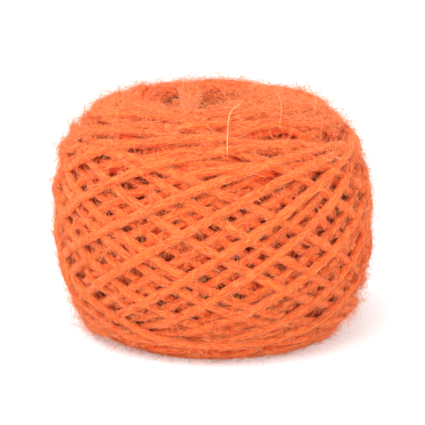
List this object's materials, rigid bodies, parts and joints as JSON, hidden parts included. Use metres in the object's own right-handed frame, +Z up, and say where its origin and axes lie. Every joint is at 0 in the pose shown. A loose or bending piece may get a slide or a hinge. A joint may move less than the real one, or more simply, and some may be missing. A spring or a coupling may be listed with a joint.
{
  "type": "ball of yarn",
  "caption": "Barrel-shaped ball of soft wound yarn with crossing diagonal strands round its waist, a sunken domed crown, a hollow along its axis and a flat spot to stand on.",
  "frame": {"origin": "centre of the ball's bounding box at the level of the table it stands on", "axes": "+Z up along the winding axis, -Y towards the front shown in the picture, +X to the right as seen from the front"},
  "size_m": [0.086, 0.086, 0.068],
  "materials": {
    "alpaca_yarn": "matt, loosely spun and fuzzy, orange"
  },
  "bodies": {
    "root": {"yarn_ball": "alpaca_yarn"}
  },
  "joints": []
}
